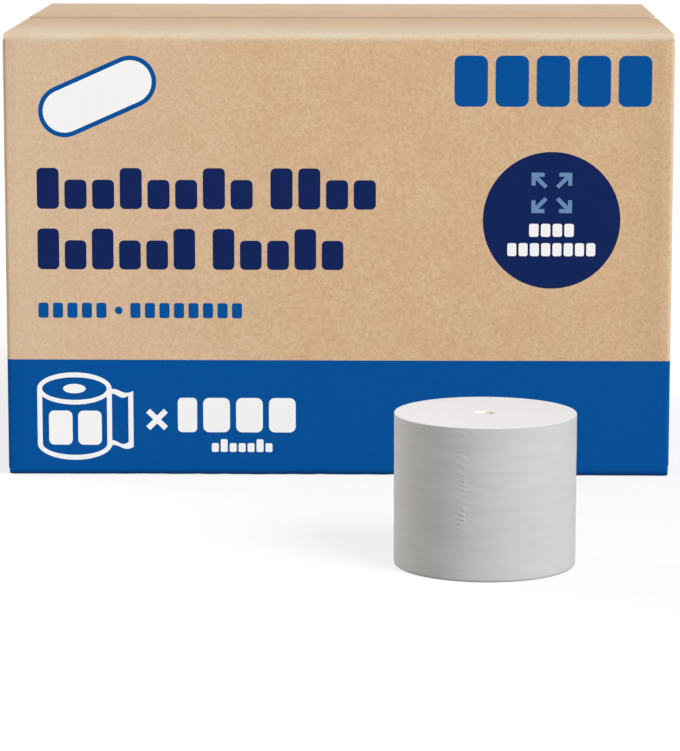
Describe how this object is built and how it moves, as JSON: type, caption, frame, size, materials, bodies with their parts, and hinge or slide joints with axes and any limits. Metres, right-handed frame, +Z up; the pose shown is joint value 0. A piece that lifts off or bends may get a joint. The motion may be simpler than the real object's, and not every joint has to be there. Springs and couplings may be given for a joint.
{
  "type": "toilet paper roll pack",
  "caption": "Closed corrugated carton of toilet tissue rolls with one loose coreless roll standing in front of its printed face.",
  "frame": {"origin": "the middle of the carton's base, on the surface that the pack stands on", "axes": "+Z up through the carton's top, +X along the carton's long side to the right of its printed front, and the printed front faces -Y"},
  "size_m": [0.494, 0.7331, 0.33],
  "materials": {
    "corrugated_board": "matt brown board, printed in dark blue and mid blue",
    "tissue": "soft creped white tissue"
  },
  "bodies": {
    "root": {"carton": "corrugated_board", "roll": "tissue"}
  },
  "joints": []
}
